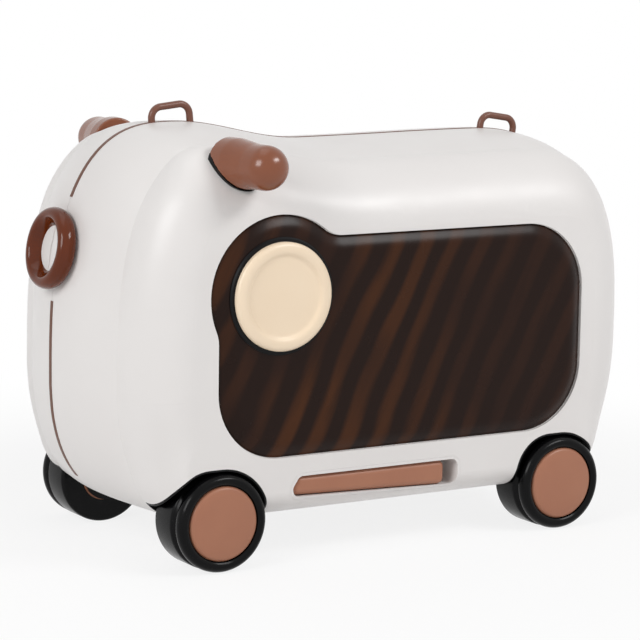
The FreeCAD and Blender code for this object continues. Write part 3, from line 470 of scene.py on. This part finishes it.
def arcPoints(along, radius, reach, start, end, steps):
    # an elliptic arc: 0 degrees points away from the axle, 90 degrees out along it
    turns = [math.radians(start + (end - start) * step / steps) for step in range(steps + 1)]
    return [(along + reach[0] * math.sin(turn), radius + reach[1] * math.cos(turn)) for turn in turns]


def turnPiece(name, profile, corners, filled, foot, axle):
    bpy.ops.object.select_all(action="DESELECT")
    along, radius = profile[0]
    bpy.ops.mesh.primitive_circle_add(
        vertices=corners, radius=radius / mmPerMetre, fill_type="NGON" if filled else "NOTHING",
        location=(0.0, 0.0, along / mmPerMetre),
    )
    piece = bpy.context.object
    piece.name = name
    bpy.ops.object.transform_apply(location=True, rotation=True, scale=True)
    bpy.ops.object.mode_set(mode="EDIT")
    bpy.ops.mesh.select_mode(type="VERT")
    bpy.ops.mesh.select_all(action="SELECT")
    for nextAlong, nextRadius in profile[1:]:
        rise = (nextAlong - along) / mmPerMetre
        share = nextRadius / radius
        bpy.ops.mesh.extrude_region_move(TRANSFORM_OT_translate={"value": (0.0, 0.0, rise)})
        bpy.ops.transform.resize(value=(share, share, 1.0), center_override=(0.0, 0.0, 0.0))
        along, radius = nextAlong, nextRadius
    bpy.ops.mesh.select_all(action="SELECT")
    bpy.ops.mesh.remove_doubles(threshold=mergeGap)
    bpy.ops.mesh.normals_make_consistent(inside=False)
    bpy.ops.object.mode_set(mode="OBJECT")
    piece.matrix_world = Matrix.Translation(foot) @ axle.to_track_quat("Z", "Y").to_matrix().to_4x4()
    bpy.ops.object.transform_apply(location=True, rotation=True, scale=True)
    return piece


# Wheels: a tyre with a rounded bead beside a shallow groove, and a cap with a soft edge

wheel = {
    "corners": 96,
    "hubMm": 24, "innerFaceMm": (5, 21), "seatMm": (37.5, 30.8), "shoulderMm": 3, "shoulderSteps": 6,
    "treadEnd": {"along": 25.5, "radius": 37.2, "reach": (3.4, 2.8), "start": 0, "end": 70, "steps": 5},
    "bead": {"along": 36.6, "radius": 34.4, "reach": (6.4, 5.3), "start": -62, "end": 128, "steps": 18},
    "capMm": 30.4,
    "capEdge": {"along": 39.3, "radius": 26.6, "reach": (3.8, 3.8), "start": 0, "end": 78, "steps": 7},
    "capDomeMm": ((43.5, 20), (43.85, 11), (44.0, 3)),
}


def tyreProfile(radius):
    depth, face = wheel["innerFaceMm"]
    seat, lip = wheel["seatMm"]
    shoulder = wheel["shoulderMm"]
    profile = [(depth, wheel["hubMm"]), (depth, face), (0, face)]
    profile += arcPoints(
        shoulder, radius - shoulder, (shoulder, shoulder), start=-90, end=0, steps=wheel["shoulderSteps"],
    )
    profile += arcPoints(**wheel["treadEnd"])
    profile += arcPoints(**wheel["bead"])
    return profile + [(seat, lip), (seat, wheel["hubMm"]), (depth, wheel["hubMm"])]


def capProfile():
    seat = wheel["seatMm"][0]
    return [(seat, wheel["capMm"])] + arcPoints(**wheel["capEdge"]) + list(wheel["capDomeMm"])


def makeWheel(side, end, outward):
    tyre, cap = f"{side}_{end}_tyre", f"{side}_{end}_hub_cap"
    low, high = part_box(tyre)
    foot = Vector(((low.x + high.x) / 2, low.y if outward > 0 else high.y, (low.z + high.z) / 2))
    axle = Vector((0.0, outward, 0.0))
    radius = (high.x - low.x) / 2 * mmPerMetre
    rubber = turnPiece(pieceName(tyre), tyreProfile(radius), wheel["corners"], False, foot, axle)
    finishPiece(rubber, tyre, "glossyBlackPu")
    lid = turnPiece(pieceName(cap), capProfile(), wheel["corners"], True, foot, axle)
    finishPiece(lid, cap, "satinTanAbs")


# Latch rings: a fat rounded ring whose mouth runs down to the core

latchRing = {
    "corners": 96, "liftMm": -0.8,
    "footMm": ((1.4, 18.4), (0, 28), (0.6, 30)),
    "outer": {"along": 7.2, "radius": 27.4, "reach": (7.8, 5.6), "start": -50, "end": 90, "steps": 12},
    "inner": {"along": 11.2, "radius": 26.8, "reach": (3.8, 3.6), "start": 96, "end": 150, "steps": 6},
    "throatMm": ((6.5, 18.4), (1.4, 18.4)),
}


def makeLatchRing(end):
    joint = next(joint for joint in frame["joints"] if joint["name"] == end + "_latch_turn")
    place, axis = Vector(joint["pos_m"]), Vector(joint["axis"])
    outward = axis if axis.x * place.x > 0 else -axis
    profile = list(latchRing["footMm"])
    profile += arcPoints(**latchRing["outer"])
    profile += arcPoints(**latchRing["inner"])
    profile += latchRing["throatMm"]
    node = end + "_latch_ring"
    foot = place + outward * latchRing["liftMm"] / mmPerMetre
    ring = turnPiece(pieceName(node), profile, latchRing["corners"], False, foot, outward)
    finishPiece(ring, node, "polishedChestnutAbs")


for side, outward in (("left", 1), ("right", -1)):
    makeWindow(side, outward)
    makeEyeDisc(side, outward)
    makeGrip(side)
    for end in ("front", "rear"):
        makeWheel(side, end, outward)
for end in ("front", "rear"):
    makeLatchRing(end)
print("pieces made")


# Stage: pale floor, soft boxes and the camera of the photograph

white = (1.0, 1.0, 1.0, 1.0)
stage = {
    "floorSize": 40.0, "floorColours": ("#F8F8F8", "#FBFBFB"), "mottleScale": 2.0,
    "roughness": 0.9, "gloss": 0.1,
    # the white over the floor grows from the veil's share to all of it between these distances in metres
    "fade": (0.3, 0.75), "veil": 0.83,
    "skyLight": 0.3,
}
softBoxes = {
    # place, aim, width, height, watts
    "keyBox": ((2.4, 0.9, 1.5), (0.0, 0.0, 0.2), 1.2, 1.2, 34),
    "sideBox": ((-1.0, 1.5, 1.62), (0.0, 0.1, 0.2), 1.0, 0.5, 20),
    "topBox": ((0.2, -0.2, 2.3), (0.0, 0.0, 0.2), 1.6, 1.0, 4),
}
photoCamera = {
    "azimuth": 148.32, "elevation": 8.93, "roll": 0.92, "place": (1.2028, 1.9413, 0.5326),
    "lens": 152.98, "sensor": 36.0, "nearest": 0.05,
}


def seenRays(tree):
    # 1 for rays that show the background, straight or in a reflection, and 0 for the light on the object
    rays = addNode(tree, "LightPath", {})
    first = addNode(
        tree, "Math", {"operation": "MAXIMUM"},
        {0: rays.outputs["Is Camera Ray"], 1: rays.outputs["Is Glossy Ray"]},
    )
    both = addNode(
        tree, "Math", {"operation": "MAXIMUM"},
        {0: first.outputs["Value"], 1: rays.outputs["Is Transmission Ray"]},
    )
    return both.outputs["Value"]


def makeFloor():
    bpy.ops.object.select_all(action="DESELECT")
    bpy.ops.mesh.primitive_plane_add(size=stage["floorSize"], location=(0.0, 0.0, cadBox[0].z))
    floor = bpy.context.object
    floor.name = "studioFloor"
    finish, tree, shader, place = newFinish("paleFloor")
    mottle = addNode(tree, "TexNoise", {"Scale": stage["mottleScale"]}, {"Vector": place})
    first, second = [linearColour(colour) for colour in stage["floorColours"]]
    shade = addNode(
        tree, "Mix", {"data_type": "RGBA", colourA: first, colourB: second},
        {"Factor": mottle.outputs["Fac"]},
    )
    tree.links.new(shade.outputs[colourOut], shader.inputs["Base Color"])
    shader.inputs["Roughness"].default_value = stage["roughness"]
    shader.inputs["Specular IOR Level"].default_value = stage["gloss"]
    distance = addNode(tree, "VectorMath", {"operation": "LENGTH"}, {0: place})
    near, far = stage["fade"]
    faded = addNode(
        tree, "MapRange",
        {"interpolation_type": "SMOOTHSTEP", "From Min": near, "From Max": far, "To Min": stage["veil"]},
        {"Value": distance.outputs["Value"]},
    )
    share = addNode(
        tree, "Math", {"operation": "MULTIPLY"}, {0: faded.outputs["Result"], 1: seenRays(tree)},
    )
    glow = addNode(tree, "Emission", {"Color": white, "Strength": 1.0})
    mixed = addNode(
        tree, "MixShader", {},
        {0: share.outputs["Value"], 1: shader.outputs["BSDF"], 2: glow.outputs["Emission"]},
    )
    tree.links.new(mixed.outputs["Shader"], tree.nodes["Material Output"].inputs["Surface"])
    floor.data.materials.append(finish)


def makeSky():
    world = bpy.data.worlds.new("studioSky")
    world.use_nodes = True
    tree = world.node_tree
    level = addNode(
        tree, "MapRange", {"To Min": stage["skyLight"], "To Max": 1.0}, {"Value": seenRays(tree)},
    )
    sky = tree.nodes["Background"]
    sky.inputs["Color"].default_value = white
    tree.links.new(level.outputs["Result"], sky.inputs["Strength"])
    bpy.context.scene.world = world


def makeSoftBoxes():
    for name, (place, aim, width, height, watts) in softBoxes.items():
        bpy.ops.object.light_add(type="AREA", location=place)
        lamp = bpy.context.object
        lamp.name = name
        lamp.data.shape = "RECTANGLE"
        lamp.data.size = width
        lamp.data.size_y = height
        lamp.data.energy = watts
        toward = Vector(aim) - Vector(place)
        lamp.rotation_euler = toward.to_track_quat("-Z", "Y").to_euler()


def makeCamera():
    azimuth, elevation, roll = [math.radians(photoCamera[key]) for key in ("azimuth", "elevation", "roll")]
    back = Vector((
        math.sin(azimuth) * math.cos(elevation),
        -math.cos(azimuth) * math.cos(elevation),
        math.sin(elevation),
    ))
    level = Vector((math.cos(azimuth), math.sin(azimuth), 0.0))
    upright = back.cross(level)
    right = level * math.cos(roll) + upright * math.sin(roll)
    up = upright * math.cos(roll) - level * math.sin(roll)
    turned = Matrix((right, up, back)).transposed().to_4x4()
    bpy.ops.object.camera_add()
    camera = bpy.context.object
    camera.name = "photoCamera"
    camera.data.lens = photoCamera["lens"]
    camera.data.sensor_width = photoCamera["sensor"]
    camera.data.clip_start = photoCamera["nearest"]
    camera.matrix_world = Matrix.Translation(photoCamera["place"]) @ turned
    bpy.context.scene.camera = camera


makeFloor()
makeSky()
makeSoftBoxes()
makeCamera()
bpy.context.scene.view_settings.view_transform = "Standard"
print("stage set")
